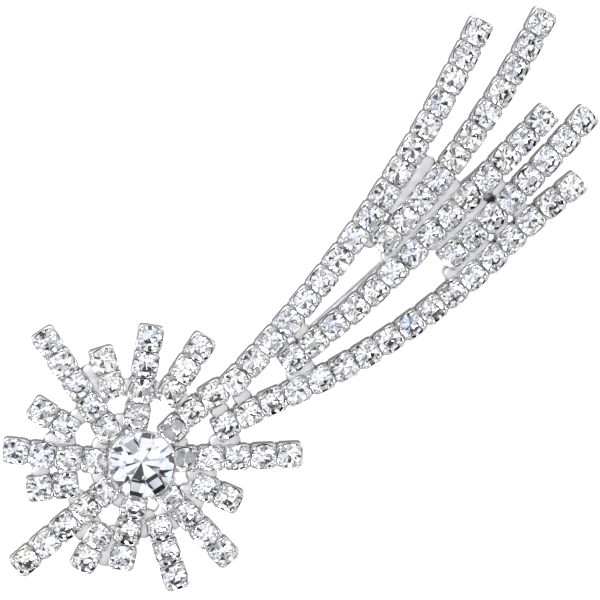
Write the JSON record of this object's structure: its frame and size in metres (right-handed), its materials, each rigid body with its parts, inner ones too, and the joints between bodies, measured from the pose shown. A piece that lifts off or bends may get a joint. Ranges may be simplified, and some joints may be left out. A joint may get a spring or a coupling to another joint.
{
  "type": "rhinestone hair clip",
  "caption": "Shooting-star hair ornament of rhinestone cup chain, with a round burst and five tail strands, soldered to a sprung alligator clip.",
  "frame": {"origin": "on the gripping face of the fixed jaw, at the middle of the jaw's length, on the clip's centreline", "axes": "+X along the clip from the burst towards the tail strands, +Z out of the jewelled face, +Y to the left when looking from the burst along the tail with the stones up"},
  "size_m": [0.0992, 0.0396, 0.0137],
  "materials": {
    "silver_plate": "bright rhodium-coloured plating on stamped brass cups",
    "solder": "plated over tin solder, slightly uneven",
    "crystal": "clear faceted glass with a foiled back",
    "clip_steel": "nickel-plated spring steel strip",
    "spring_wire": "drawn music wire"
  },
  "bodies": {
    "ornament": {"ray_01_cups": "silver_plate", "ray_02_cups": "silver_plate", "ray_03_cups": "silver_plate", "ray_04_cups": "silver_plate", "ray_05_cups": "silver_plate", "ray_06_cups": "silver_plate", "ray_07_cups": "silver_plate", "ray_08_cups": "silver_plate", "ray_09_cups": "silver_plate", "ray_10_cups": "silver_plate", "ray_11_cups": "silver_plate", "ray_12_cups": "silver_plate", "ray_13_cups": "silver_plate", "ray_14_cups": "silver_plate", "strand_a_cups": "silver_plate", "strand_b_cups": "silver_plate", "strand_c_cups": "silver_plate", "strand_d_cups": "silver_plate", "strand_e_cups": "silver_plate", "ray_01_stones": "crystal", "ray_02_stones": "crystal", "ray_03_stones": "crystal", "ray_04_stones": "crystal", "ray_05_stones": "crystal", "ray_06_stones": "crystal", "ray_07_stones": "crystal", "ray_08_stones": "crystal", "ray_09_stones": "crystal", "ray_10_stones": "crystal", "ray_11_stones": "crystal", "ray_12_stones": "crystal", "ray_13_stones": "crystal", "ray_14_stones": "crystal", "strand_a_stones": "crystal", "strand_b_stones": "crystal", "strand_c_stones": "crystal", "strand_d_stones": "crystal", "strand_e_stones": "crystal", "centre_setting": "silver_plate", "centre_stone": "crystal", "solder_joints": "solder", "fixed_arm": "clip_steel", "hinge_pin": "clip_steel", "torsion_spring": "spring_wire"},
    "moving_arm": {"moving_arm": "clip_steel"}
  },
  "joints": [
    {"name": "jaw_hinge", "type": "hinge", "parent": "ornament", "child": "moving_arm", "pos_m": [0.0127, 0, -0.0022], "axis": [0, -1, 0], "range_deg": [0, 30], "stiffness_Nm_per_rad": 0.01, "springref_deg": -91.67, "deforming": ["torsion_spring"]}
  ]
}
